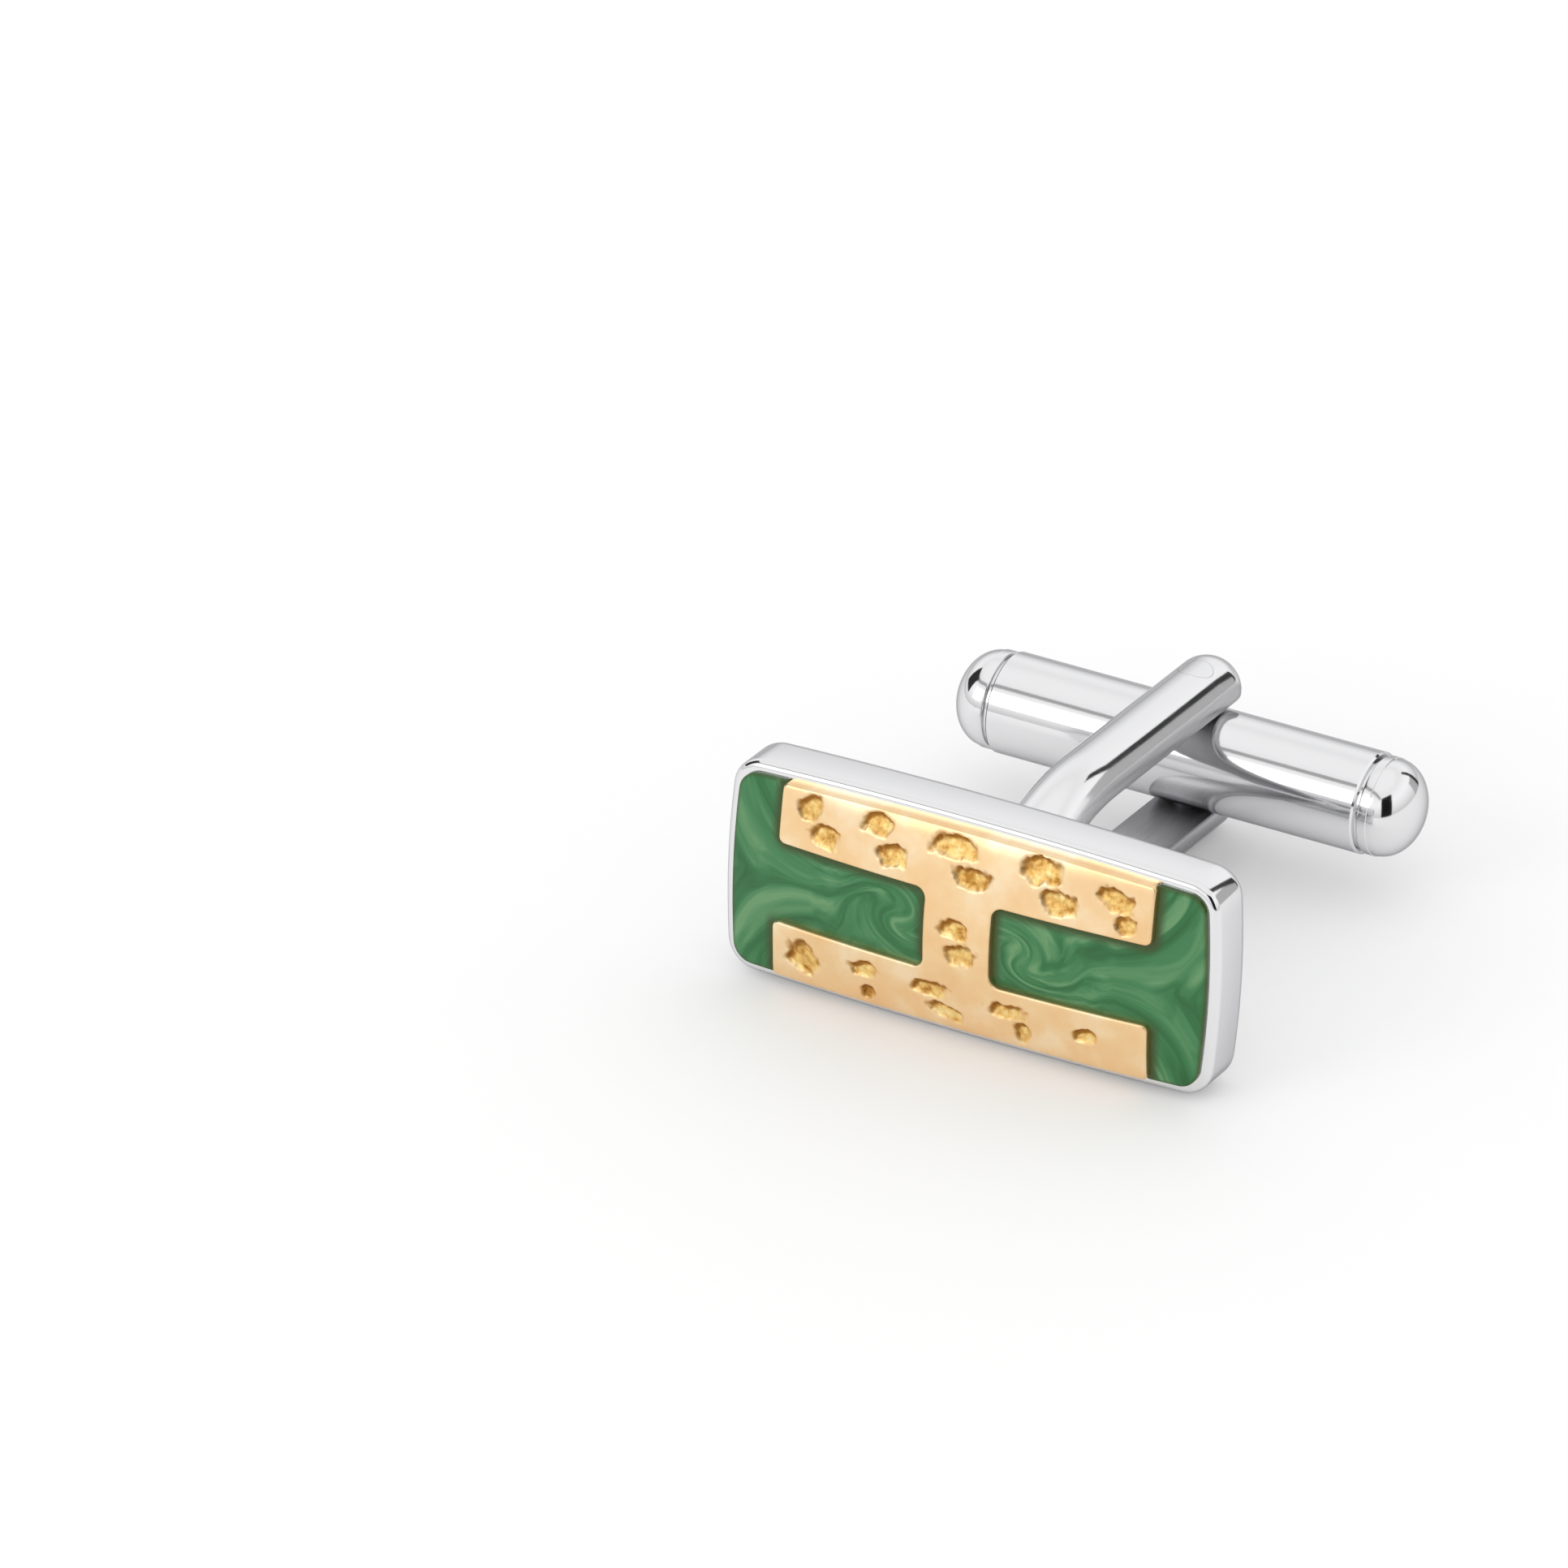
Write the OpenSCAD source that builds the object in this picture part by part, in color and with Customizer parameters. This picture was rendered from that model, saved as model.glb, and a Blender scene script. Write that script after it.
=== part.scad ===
// Cufflink with a rectangular inlaid head, a wishbone post and a round swivel toggle.
//
// Head frame, used by every sub-part: X runs along the head, Y runs from the face to the
// toggle, Z runs up the face. Zero is the centre of the head's back face, so the head lies
// at negative Y and the post and the toggle at positive Y.
// The whole cufflink is then leaned back the way it rests on a table: on the lower back
// edge of its head and on the rounded end of its lower arm.

/* [Head] */
// Length of the head over its bowed short sides
head_l = 20; // [16:0.5:26]
// Height of the head over its bowed long sides
head_h = 8.75; // [8:0.05:12]
// Thickness of the tray from its rim to its back face
tray_t = 2.35; // [2:0.05:4]
// How far each short side bows outward
end_bow = 0.28; // [0.1:0.02:0.5]
// How far each long side bows outward
long_bow = 0.22; // [0.04:0.02:0.3]
// Radius of the head's four corners
corner_r = 1.2; // [0.8:0.05:1.6]
// Width of the bright rim round the inlay
rim_w = 0.5; // [0.3:0.01:0.6]
// Rounding of the rim's outer lip
lip_r = 0.2; // [0.05:0.01:0.25]
// Rounding of the back edge of the tray
back_r = 0.65; // [0.3:0.05:0.75]

/* [Inlay] */
// Depth of the recess that holds the inlay, behind the rim
recess_t = 1; // [0.6:0.05:1.4]
// Level of the metal inlay above the rim, where the two meet
inlay_level = 0.3; // [0:0.01:0.4]
// Further rise of the metal inlay from its edge to its crown
inlay_crown = 0.7; // [0.3:0.02:1.2]
// Step from the metal inlay down to the enamel
enamel_step = 0.3; // [0.05:0.01:0.4]
// Length of the inlay's two bars
bar_l = 15.1; // [11:0.1:16]
// Height of the enamel stem between the bars
stem_h = 3.15; // [2:0.05:4]
// Width of the web that joins the bars
web_w = 2.7; // [1.5:0.05:5]
// Radius of the enamel stem's corners at the web
stem_corner_r = 0.42; // [0.1:0.02:0.8]
// Radius of the corners at the ends of the bars
bar_corner_r = 0.26; // [0.1:0.02:0.6]

/* [Post] */
// Width of the arms along the head
arm_w = 2.56; // [2:0.02:2.6]
// Thickness of the arms at their crown
arm_t = 1.45; // [1.3:0.05:1.7]
// Clearance between the toggle and the flat inside of each arm
arm_gap = 0.07; // [0.04:0.01:0.2]
// Distance from the head's back face to the toggle's pivot
pivot_y = 14.5; // [12:0.1:18]
// How far the arms run on past the pivot before their ends turn round
arm_end = 0.95; // [0.7:0.05:1.2]
// Distance from the head's back face to the start of the arms' bend
bend_y = 6.2; // [5.4:0.1:7]
// Inside radius of the arms' bend
bend_r = 8; // [7:0.1:10]
// Diameter of the solder pad on the head's back
pad_d = 6.4; // [5:0.1:7]
// Thickness of the solder pad
pad_t = 0.6; // [0.4:0.05:1]
// Diameter of the tenon that passes through the pad
tenon_d = 1.6; // [1:0.05:2]

/* [Toggle] */
// Diameter of the toggle's barrel
toggle_d = 3.84; // [3.4:0.02:4.4]
// Length of the barrel between its two caps
barrel_l = 15.1; // [12:0.1:18]
// Wall thickness of the barrel
barrel_wall = 0.45; // [0.35:0.01:0.55]
// Width of the groove between the barrel and each cap
groove_w = 0.15; // [0.08:0.01:0.3]
// Depth of that groove
groove_t = 0.18; // [0.08:0.01:0.3]
// Width of the plain band on each cap
band_w = 0.4; // [0.2:0.05:0.8]
// Step from the barrel down to the cap's band
band_step = 0.06; // [0.02:0.01:0.12]
// Height of each cap's dome
dome_h = 1.35; // [0.8:0.05:2]
// Length of the plug that each cap presses into the barrel
plug_l = 1.9; // [1:0.1:2.2]

/* [Pivot] */
// Diameter of the pivot pin
pin_d = 1.3; // [1:0.05:1.4]
// Running clearance round the pin in the barrel, on the radius
pin_clearance = 0.03; // [0.02:0.01:0.06]
// Distance across the flats of the pin's square middle
cam_w = 0.9; // [0.7:0.02:1]
// Length of the pin's square middle
cam_l = 2.1; // [1.8:0.05:2.4]
// Width of the two leaf springs
leaf_w = 1.6; // [1.2:0.05:1.9]
// Thickness of the two leaf springs
leaf_t = 0.2; // [0.12:0.01:0.25]
// Room left between the leaf springs and the plug of each cap
leaf_room = 0.45; // [0.2:0.05:1.5]

/* [Hidden] */
$fn = 96;

// Overrun of every cut past the face it opens
cut = 0.5;
// Gap that lets a leaf spring's ends slide on the barrel's wall
leaf_gap = 0.01;
// Rounding of the solder pad's outer edge
pad_edge = 0.2;
// Diameter of the post's foot, where it meets the pad and where it meets the arms
foot_d = 4.2;
foot_neck_d = 3.4;
// Height of the post's foot
foot_h = 0.8;

// Facets along a quarter of the head's outline
end_steps = 3;
corner_steps = 7;
long_steps = 5;
// Facets across the domed face
dome_columns = 22;
dome_rows = 12;
// Facets along the rounding of the tray's lip and back edge
round_steps = 5;
// Facets along the profile of a cap's dome
cap_steps = 14;

// Angle through which each arm bends inward before it meets the pad
bend_angle = asin((bend_y - pad_t) / bend_r);
// Radius of the half-round arms' outer face, and height of its centre over the flat inside
arm_r = (pow(arm_w / 2, 2) + pow(arm_t, 2)) / (2 * arm_t);
arm_mid = arm_t - arm_r;
// Distance from the middle plane to the flat inside of each arm
arm_z = toggle_d / 2 + arm_gap;
// Radius of the bore that runs through the barrel
bore_r = toggle_d / 2 - barrel_wall;
// Length of the two leaf springs, between the plugs of the caps
leaf_l = barrel_l - 2 * (plug_l + leaf_room);
// Where the metal inlay and the enamel crown, above the rim
inlay_top = inlay_level + inlay_crown;

// Radii and centres of the arcs that bow the head's sides
end_r = pow(head_h / 2, 2) / (2 * end_bow) + end_bow / 2;
long_r = pow(head_l / 2, 2) / (2 * long_bow) + long_bow / 2;
end_centre = [head_l / 2 - end_r, 0];
long_centre = [0, head_h / 2 - long_r];

// Centre of the corner arc: inside the end arc and the long arc by the corner's radius
corner_centre = meeting_point(end_centre, end_r - corner_r, long_centre, long_r - corner_r);
// Directions in which the corner arc meets the end arc and the long arc
end_angle = atan2(corner_centre[1] - end_centre[1], corner_centre[0] - end_centre[0]);
long_angle = atan2(corner_centre[1] - long_centre[1], corner_centre[0] - long_centre[0]);

// Resting lean: the line under the tray's rounded back edge and under the lower arm's end
rest_run = pivot_y + arm_end + back_r;
rest_drop = head_h / 2 - back_r - (arm_z + arm_mid);
rest_lean = atan2(rest_drop, rest_run) + asin((back_r - arm_r) / norm([rest_run, rest_drop]));
// Height of the head's centre above the table, and shift that centres the leaned box
rest_lift = (head_h / 2 - back_r) * cos(rest_lean) - back_r * sin(rest_lean) + back_r;
face_drop = pow((head_h / 2 - rim_w) * sin(rest_lean), 2) / (4 * inlay_crown * cos(rest_lean));
box_front = face_reach() * cos(rest_lean) + face_drop;
box_back = (pivot_y + arm_end + arm_w / 2) * cos(rest_lean) + (arm_z + 2 * arm_mid) * sin(rest_lean);
rest_shift = (box_front - box_back) / 2;

// The meeting point, with the larger second coordinate, of two circles
function meeting_point(a, ra, b, rb) =
    let (gap = b - a,
         d = norm(gap),
         along = (d * d + ra * ra - rb * rb) / (2 * d),
         aside = sqrt(ra * ra - along * along),
         u = gap / d)
    a + along * u + aside * [-u[1], u[0]];

// Points on an arc, without its last one
function arc(centre, r, from, to, steps) =
    [for (i = [0:steps - 1])
        let (a = from + (to - from) * i / steps)
        centre + r * [cos(a), sin(a)]];

// One quarter of the head's outline, from the end's middle to half a facet short of the long
// side's middle, so that a flat facet lies across that middle and the head can rest on it
function quarter(inset) =
    let (half_facet = (90 - long_angle) / (2 * long_steps + 1))
    concat(
        arc(end_centre, end_r - inset, 0, end_angle, end_steps),
        arc(corner_centre, corner_r - inset, end_angle, long_angle, corner_steps),
        arc(long_centre, long_r - inset, long_angle, 90 + half_facet, long_steps + 1));

// The whole outline: the quarter mirrored round, with no point given twice
function outline(inset) =
    let (q = quarter(inset), n = len(q))
    concat(
        q,
        [for (i = [n - 1:-1:0]) [-q[i][0], q[i][1]]],
        [for (i = [1:n - 1]) [-q[i][0], -q[i][1]]],
        [for (i = [n - 1:-1:1]) [q[i][0], -q[i][1]]]);

// Front face of the inlay over the rim's plane, for a point of the face
function swell(x, z, crown) =
    let (a = head_l / 2 - rim_w, b = head_h / 2 - rim_w)
    crown * (1 - pow(x / a, 2)) * (1 - pow(z / b, 2));

// How far the face reaches in front of the head's back face
function face_reach() = tray_t + inlay_top;

// Solid between rings of the head's outline: each station gives a Y and an inset
module loft(stations) {
    rings = [for (s = stations) [for (p = outline(s[1])) [p[0], s[0], p[1]]]];
    n = len(rings[0]);
    last = len(rings) - 1;
    points = [for (ring = rings) for (p = ring) p];
    sides = [for (k = [0:last - 1]) for (i = [0:n - 1])
        let (j = (i + 1) % n)
        each [[k * n + i, k * n + j, (k + 1) * n + j],
              [k * n + i, (k + 1) * n + j, (k + 1) * n + i]]];
    first_cap = [[for (i = [n - 1:-1:0]) i]];
    last_cap = [[for (i = [0:n - 1]) last * n + i]];
    polyhedron(points, concat(sides, first_cap, last_cap), convexity = 4);
}

// Block whose front face swells over the recess: level is its edge's height over the rim
module swelling_block(level, crown) {
    columns = dome_columns;
    rows = dome_rows;
    front = [for (i = [0:columns]) for (j = [0:rows])
        let (x = head_l * (i / columns - 1 / 2), z = head_h * (j / rows - 1 / 2))
        [x, -(tray_t + level + swell(x, z, crown)), z]];
    back = [for (i = [0:columns]) for (j = [0:rows])
        let (x = head_l * (i / columns - 1 / 2), z = head_h * (j / rows - 1 / 2))
        [x, 0, z]];
    m = rows + 1;
    size = m * (columns + 1);
    grid = [for (i = [0:columns - 1]) for (j = [0:rows - 1]) [i * m + j, (i + 1) * m + j,
                                                              (i + 1) * m + j + 1, i * m + j + 1]];
    rim = concat(
        [for (i = [0:columns - 1]) [i * m, (i + 1) * m]],
        [for (j = [0:rows - 1]) [columns * m + j, columns * m + j + 1]],
        [for (i = [columns:-1:1]) [i * m + rows, (i - 1) * m + rows]],
        [for (j = [rows:-1:1]) [j, j - 1]]);
    faces = concat(
        [for (q = grid) each [[q[0], q[2], q[1]], [q[0], q[3], q[2]]]],
        [for (q = grid) each [[q[0] + size, q[1] + size, q[2] + size],
                              [q[0] + size, q[2] + size, q[3] + size]]],
        [for (e = rim) each [[e[0], e[1], e[1] + size], [e[0], e[1] + size, e[0] + size]]]);
    polyhedron(concat(front, back), faces, convexity = 4);
}

// A flat shape on the face, raised towards the viewer from a given depth behind the rim
module raised(depth, height) {
    translate([0, -(tray_t - depth), 0])
        rotate([90, 0, 0])
            linear_extrude(height)
                children();
}

// Outline of the recess inside the rim
module recess_shape() {
    polygon(outline(rim_w));
}

// The enamel stem on the right, with two rounded corners at the web
module stem_shape() {
    x0 = web_w / 2;
    translate([x0 + stem_corner_r, -stem_h / 2])
        square([head_l / 2, stem_h]);
    translate([x0, -stem_h / 2 + stem_corner_r])
        square([head_l / 2, stem_h - 2 * stem_corner_r]);
    for (side = [-1, 1])
        translate([x0 + stem_corner_r, side * (stem_h / 2 - stem_corner_r)])
            circle(stem_corner_r);
}

// What is cut from the end of the bars on the right: past their ends and off their corners
module end_shape() {
    translate([bar_l / 2, -head_h])
        square([head_l, 2 * head_h]);
    for (side = [-1, 1])
        translate([bar_l / 2 - bar_corner_r, side * (stem_h / 2 + bar_corner_r)])
            difference() {
                translate([0, side > 0 ? -bar_corner_r : 0])
                    square(bar_corner_r);
                circle(bar_corner_r);
            }
}

// The enamel panel on the right: a crossbar at the head's end and a stem to the web
module panel_shape() {
    intersection() {
        recess_shape();
        union() {
            stem_shape();
            end_shape();
        }
    }
}

// Section of an arm: flat towards the toggle, round outside
module arm_section() {
    intersection() {
        translate([0, arm_mid])
            circle(arm_r);
        translate([-arm_w / 2, 0])
            square([arm_w, arm_t]);
    }
}

// Half of that section, for turning the arm's rounded end
module half_arm_section() {
    intersection() {
        arm_section();
        square([arm_w, arm_t]);
    }
}

// The upper arm, from its rounded end over the pivot to its root at the pad
module upper_arm() {
    difference() {
        union() {
            translate([0, pivot_y + arm_end, arm_z])
                rotate_extrude(angle = 180)
                    half_arm_section();
            translate([0, pivot_y + arm_end, arm_z])
                rotate([90, 0, 0])
                    linear_extrude(pivot_y + arm_end - bend_y)
                        arm_section();
            translate([0, bend_y, arm_z - bend_r])
                rotate([180, -90, 0])
                    rotate_extrude(angle = bend_angle)
                        translate([bend_r, 0])
                            rotate(-90)
                                arm_section();
        }
        // Everything behind the pad's outer face
        translate([-arm_w, pad_t - 2 * bend_y, -bend_y])
            cube([2 * arm_w, 2 * bend_y, 2 * bend_y]);
        // Hole for the pivot pin
        translate([0, pivot_y, 0])
            cylinder(d = pin_d, h = arm_z + arm_t + cut);
    }
}

// The cast tray: rounded lip, bowed sides, rounded back edge and the recess for the inlay
module bezel_tray() {
    lip = [for (i = [0:round_steps])
        let (a = 90 * i / round_steps)
        [-tray_t + lip_r * (1 - sin(a)), lip_r * (1 - cos(a))]];
    back = [for (i = [0:round_steps])
        let (a = 90 * i / round_steps)
        [-back_r * (1 - sin(a)), back_r * (1 - cos(a))]];
    front_to_back = concat([for (i = [round_steps:-1:0]) lip[i]], back);
    color("silver")
        difference() {
            loft(front_to_back);
            raised(recess_t, recess_t + cut)
                recess_shape();
        }
}

// The metal inlay: two long bars joined by a short web, swelling out of the recess
module gold_inlay() {
    color("burlywood")
        intersection() {
            raised(recess_t, recess_t + 2 * inlay_top)
                difference() {
                    recess_shape();
                    for (side = [0, 1])
                        mirror([side, 0, 0])
                            panel_shape();
                }
            swelling_block(inlay_level, inlay_crown);
        }
}

// One T-shaped enamel panel, lower than the metal beside it
module enamel_panel(side) {
    color("seagreen")
        intersection() {
            raised(recess_t, recess_t + 2 * inlay_top)
                mirror([side, 0, 0])
                    panel_shape();
            swelling_block(inlay_level - enamel_step, inlay_crown);
        }
}

module enamel_right() {
    enamel_panel(0);
}

module enamel_left() {
    enamel_panel(1);
}

// The round pad that is soldered to the head, with a hole for the post's tenon
module post_pad() {
    color("silver")
        rotate([-90, 0, 0])
            difference() {
                union() {
                    cylinder(d = pad_d, h = pad_t - pad_edge);
                    translate([0, 0, pad_t - pad_edge])
                        cylinder(d1 = pad_d, d2 = pad_d - 2 * pad_edge, h = pad_edge);
                }
                translate([0, 0, -cut])
                    cylinder(d = tenon_d, h = pad_t + 2 * cut);
            }
}

// The wishbone post: two half-round arms that spread from one foot and straddle the toggle
module post_fork() {
    color("silver")
        union() {
            upper_arm();
            mirror([0, 0, 1])
                upper_arm();
            translate([0, pad_t, 0])
                rotate([-90, 0, 0])
                    cylinder(d1 = foot_d, d2 = foot_neck_d, h = foot_h);
            rotate([-90, 0, 0])
                cylinder(d = tenon_d, h = pad_t);
        }
}

// The pivot pin: held in both arms, flush with their round outside, with a square middle
module pivot_pin() {
    color("gray")
        translate([0, pivot_y, 0])
            union() {
                for (end = [0, 1])
                    mirror([0, 0, end]) {
                        translate([0, 0, cam_l / 2])
                            cylinder(d = pin_d, h = arm_z - cam_l / 2);
                        intersection() {
                            translate([0, 0, arm_z])
                                cylinder(d = pin_d, h = arm_t);
                            translate([0, pin_d, arm_z])
                                rotate([90, 0, 0])
                                    linear_extrude(2 * pin_d)
                                        arm_section();
                        }
                    }
                translate([-cam_w / 2, -cam_w / 2, -cam_l / 2])
                    cube([cam_w, cam_w, cam_l]);
            }
}

// The toggle's barrel: a tube with a cross hole for the pivot pin
module toggle_barrel() {
    color("silver")
        translate([0, pivot_y, 0])
            difference() {
                rotate([0, 90, 0])
                    cylinder(d = toggle_d, h = barrel_l, center = true);
                rotate([0, 90, 0])
                    cylinder(r = bore_r, h = barrel_l + 2 * cut, center = true);
                cylinder(d = pin_d + 2 * pin_clearance, h = toggle_d + 2 * cut, center = true);
            }
}

// One bullet cap: plug in the barrel, groove, plain band and dome
module toggle_cap() {
    band_r = toggle_d / 2 - band_step;
    dome_start = groove_w + band_w;
    dome = [for (i = [0:cap_steps])
        let (a = 90 * i / cap_steps)
        [band_r * cos(a), dome_start + dome_h * sin(a)]];
    color("silver")
        translate([barrel_l / 2, pivot_y, 0])
            rotate([0, 90, 0])
                rotate_extrude()
                    polygon(concat(
                        [[0, -plug_l], [bore_r, -plug_l], [bore_r, 0],
                         [toggle_d / 2 - groove_t, 0], [toggle_d / 2 - groove_t, groove_w],
                         [band_r, groove_w]],
                        dome));
}

module toggle_cap_right() {
    toggle_cap();
}

module toggle_cap_left() {
    mirror([1, 0, 0])
        toggle_cap();
}

// One bowed leaf spring: its middle presses on the pin's flat, its ends on the barrel's wall
module leaf_spring() {
    seat = sqrt(pow(bore_r, 2) - pow(leaf_w / 2, 2)) - leaf_gap;
    bow = seat - leaf_t - cam_w / 2;
    leaf_r = pow(leaf_l / 2, 2) / (2 * bow) + bow / 2;
    color("steelblue")
        translate([0, pivot_y, -leaf_w / 2])
            linear_extrude(leaf_w)
                intersection() {
                    translate([0, cam_w / 2 + leaf_r])
                        difference() {
                            circle(leaf_r, $fn = 720);
                            circle(leaf_r - leaf_t, $fn = 720);
                        }
                    translate([-leaf_l / 2, 0])
                        square([leaf_l, bore_r]);
                }
}

module leaf_spring_rear() {
    leaf_spring();
}

module leaf_spring_front() {
    translate([0, 2 * pivot_y, 0])
        mirror([0, 1, 0])
            leaf_spring();
}

// Lean the finished cufflink back onto the table
module resting() {
    translate([0, rest_shift, rest_lift])
        rotate([-rest_lean, 0, 0])
            children();
}

resting() bezel_tray();
resting() gold_inlay();
resting() enamel_left();
resting() enamel_right();
resting() post_pad();
resting() post_fork();
resting() pivot_pin();
resting() toggle_barrel();
resting() toggle_cap_left();
resting() toggle_cap_right();
resting() leaf_spring_front();
resting() leaf_spring_rear();
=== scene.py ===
# %% [markdown]
# A cufflink, dressed for its picture.
#
# The solids were made in CAD and packed. This lesson loads them as a fixed frame, lays a
# smooth, polished or enamelled piece over each one that shows, and lights the result in a
# small white studio. Every piece rides on a body of the CAD model, so the toggle still
# swivels with all that is on it.

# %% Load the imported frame
import math

import bmesh
import bpy
from mathutils import Matrix, Vector, noise


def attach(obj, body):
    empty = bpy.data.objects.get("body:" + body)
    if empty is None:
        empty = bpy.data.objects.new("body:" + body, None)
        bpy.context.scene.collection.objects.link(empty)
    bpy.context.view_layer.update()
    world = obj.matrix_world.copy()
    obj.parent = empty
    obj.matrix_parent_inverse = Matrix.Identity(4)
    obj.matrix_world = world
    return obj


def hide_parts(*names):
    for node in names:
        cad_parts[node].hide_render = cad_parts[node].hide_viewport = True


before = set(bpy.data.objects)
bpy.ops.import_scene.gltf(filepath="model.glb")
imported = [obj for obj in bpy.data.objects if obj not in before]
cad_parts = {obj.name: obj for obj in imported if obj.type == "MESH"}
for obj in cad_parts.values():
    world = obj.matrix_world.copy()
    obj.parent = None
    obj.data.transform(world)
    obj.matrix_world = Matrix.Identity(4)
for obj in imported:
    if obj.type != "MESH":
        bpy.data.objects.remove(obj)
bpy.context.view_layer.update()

# %% [markdown]
# The cufflink leans back a little: it rests on the lower back edge of its head and on the
# end of its lower arm. Each piece is shaped upright in millimetres, with zero at the centre
# of the head's back face, Y towards the toggle and Z up the face. One matrix then leans it
# and makes it metres. That keeps the shaping easy to read, and every finished piece's object
# still sits at the origin with its place in its mesh.
#
# The sizes are the CAD's, apart from a few that the photograph shows finer: the rim is a
# little narrower with a rounder lip, and the gold and the enamel stand a little higher. The
# table stays where the CAD has it, and only that still needs the CAD's own rim and level.

# %% Sizes of the head, in millimetres
head_l, head_h, tray_t = 20, 8.75, 2.35
end_bow, long_bow, corner_r = 0.28, 0.22, 1.2
rim_w, lip_r, back_r = 0.4, 0.3, 0.65
recess_t, inlay_crown, gold_level, enamel_level = 1, 0.7, 0.4, 0.18
bar_l, stem_h, web_w, stem_corner_r, bar_corner_r = 15.1, 3.15, 2.7, 0.42, 0.26
cad_rim_w, cad_inlay_level = 0.5, 0.3

# %% Sizes of the post, the toggle and the pivot
arm_w, arm_t, arm_gap, arm_end = 2.56, 1.45, 0.07, 0.95
pivot_y, bend_y, bend_r = 14.5, 6.2, 8
pad_d, pad_t, foot_d, foot_neck_d, foot_h = 6.4, 0.6, 4.2, 3.4, 0.8
toggle_d, barrel_l, barrel_wall = 3.84, 15.1, 0.45
groove_w, groove_t, band_w, band_step, dome_h, plug_l = 0.15, 0.18, 0.4, 0.06, 1.35, 1.9
pin_d, pin_clearance, cam_w, cam_l = 1.3, 0.03, 0.9, 2.1

arm_r = ((arm_w / 2) ** 2 + arm_t ** 2) / (2 * arm_t)
arm_mid = arm_t - arm_r
arm_z = toggle_d / 2 + arm_gap
toggle_r, bore_r = toggle_d / 2, toggle_d / 2 - barrel_wall

# %% The lean, and the matrix from the upright head to the table
rest_run = pivot_y + arm_end + back_r
rest_drop = head_h / 2 - back_r - (arm_z + arm_mid)
lean = (math.atan2(rest_drop, rest_run)
        + math.asin((back_r - arm_r) / math.hypot(rest_run, rest_drop)))
lift = (head_h / 2 - back_r) * math.cos(lean) - back_r * math.sin(lean) + back_r
face_drop = ((head_h / 2 - cad_rim_w) * math.sin(lean)) ** 2 / (4 * inlay_crown * math.cos(lean))
box_front = (tray_t + cad_inlay_level + inlay_crown) * math.cos(lean) + face_drop
box_back = ((pivot_y + arm_end + arm_w / 2) * math.cos(lean)
            + (arm_z + 2 * arm_mid) * math.sin(lean))
shift = (box_front - box_back) / 2
to_table = (Matrix.Translation((0, shift / 1000, lift / 1000))
            @ Matrix.Rotation(-lean, 4, "X") @ Matrix.Scale(0.001, 4))
print("lean, degrees:", round(math.degrees(lean), 2), "lift, mm:", round(lift, 3))

# %% [markdown]
# A bmesh operator hands back points, edges and faces in one list. Two helpers pick out the
# kind that the next step needs.

# %% Pick out what an operator made
def verts_of(geometry):
    return [g for g in geometry if isinstance(g, bmesh.types.BMVert)]

def edges_of(geometry):
    return [g for g in geometry if isinstance(g, bmesh.types.BMEdge)]

# %% [markdown]
# Every piece ends the same way: its mesh is leaned onto the table, its faces are turned
# outwards, smooth shading is cut at its real edges, and it takes the place of its CAD node
# on the right body. One helper does this, so that no piece forgets a step.

# %% Finish a piece
def finish_piece(bm, name, body, nodes, material, sharp=32):
    bmesh.ops.remove_doubles(bm, verts=bm.verts, dist=1e-5)
    bmesh.ops.recalc_face_normals(bm, faces=bm.faces)
    bmesh.ops.transform(bm, matrix=to_table, verts=bm.verts)
    mesh = bpy.data.meshes.new(name)
    bm.to_mesh(mesh)
    bm.free()
    mesh.shade_smooth()
    mesh.set_sharp_from_angle(angle=math.radians(sharp))
    mesh.materials.append(material)
    piece = bpy.data.objects.new(name, mesh)
    bpy.context.scene.collection.objects.link(piece)
    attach(piece, body)
    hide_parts(*nodes)
    print(name, "faces:", len(mesh.polygons), "stands for", ", ".join(nodes))
    return piece

# %% [markdown]
# Some solids meet or cut each other: the pin's holes in the arms, and the arms in the foot.
# A Boolean modifier does that exactly. Here it works on loose bmeshes: each is put in a
# passing object, the modifier's result is read back, and the passing objects are removed.
# The result's faces are split in a way that follows the order of the faces that go in, so
# these are sorted by their place first. Then the mesh is the same in each run.

# %% Join or cut solids
def combine(base, others, operation):
    holders = []
    for part in [base, *others]:
        bmesh.ops.remove_doubles(part, verts=part.verts, dist=1e-5)
        bmesh.ops.recalc_face_normals(part, faces=part.faces)
        by_place = sorted(part.faces, key=lambda f: tuple(f.calc_center_median()))
        for index, f in enumerate(by_place):
            f.index = index
        part.faces.sort()
        mesh = bpy.data.meshes.new("passing")
        part.to_mesh(mesh)
        part.free()
        holder = bpy.data.objects.new("passing", mesh)
        bpy.context.scene.collection.objects.link(holder)
        holders.append(holder)
    for other in holders[1:]:
        step = holders[0].modifiers.new("step", "BOOLEAN")
        step.object, step.operation, step.solver = other, operation, "EXACT"
    bpy.context.view_layer.update()
    done = bmesh.new()
    done.from_object(holders[0], bpy.context.evaluated_depsgraph_get())
    for holder in holders:
        mesh = holder.data
        bpy.data.objects.remove(holder)
        bpy.data.meshes.remove(mesh)
    return done

# %% [markdown]
# Materials come next. They are built from nodes, and small helpers keep those cells short.
# One makes a Principled surface and hands back its node tree, and the others add a node, a
# colour ramp, a range or a mix to the tree. The Mix node has a pair of inputs for each kind
# of value, so its colours are found by number: inputs 6 and 7, and output 2.

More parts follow.
